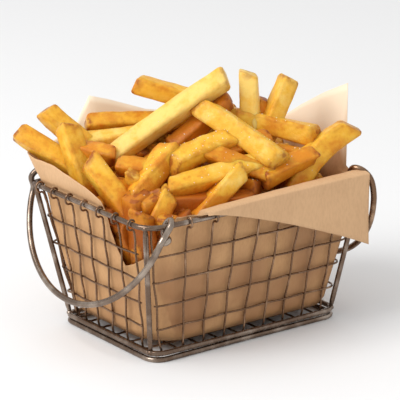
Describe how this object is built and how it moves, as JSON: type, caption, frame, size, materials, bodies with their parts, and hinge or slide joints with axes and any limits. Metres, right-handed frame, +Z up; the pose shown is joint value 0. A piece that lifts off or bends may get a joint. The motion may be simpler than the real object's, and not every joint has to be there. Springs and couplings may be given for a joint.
{
  "type": "french fries portion",
  "caption": "French fries heaped in a paper-lined rectangular wire mini basket with two hanging bail handles.",
  "frame": {"origin": "middle of the bounding box on the plane that the base ring stands on", "axes": "+Z up, +X along the basket's long side, the long face with the folded flap towards -Y"},
  "size_m": [0.1736, 0.1314, 0.1466],
  "materials": {
    "bronze_wire": "satin",
    "liner_paper": "matte",
    "fried_potato": "satin"
  },
  "bodies": {
    "basket": {"rim": "bronze_wire", "base_ring_lower": "bronze_wire", "base_ring_upper": "bronze_wire", "post_front_left": "bronze_wire", "post_front_right": "bronze_wire", "post_back_left": "bronze_wire", "post_back_right": "bronze_wire", "long_wire_1": "bronze_wire", "long_wire_2": "bronze_wire", "long_wire_3": "bronze_wire", "long_wire_4": "bronze_wire", "long_wire_5": "bronze_wire", "long_wire_6": "bronze_wire", "long_wire_7": "bronze_wire", "long_wire_8": "bronze_wire", "long_wire_9": "bronze_wire", "short_wire_1": "bronze_wire", "short_wire_2": "bronze_wire", "short_wire_3": "bronze_wire", "short_wire_4": "bronze_wire", "short_wire_5": "bronze_wire", "short_wire_6": "bronze_wire", "short_wire_7": "bronze_wire", "row_1": "bronze_wire", "row_2": "bronze_wire", "row_3": "bronze_wire", "row_4": "bronze_wire", "paper_liner": "liner_paper", "fries": "fried_potato"},
    "left_handle": {"handle_left": "bronze_wire"},
    "right_handle": {"handle_right": "bronze_wire"}
  },
  "joints": [
    {"name": "left_handle_swing", "type": "hinge", "parent": "basket", "child": "left_handle", "pos_m": [-0.061, 0, 0.082], "axis": [0, 1, 0], "range_deg": [-12, 9]},
    {"name": "right_handle_swing", "type": "hinge", "parent": "basket", "child": "right_handle", "pos_m": [0.073, 0, 0.082], "axis": [0, -1, 0], "range_deg": [0, 21]}
  ]
}
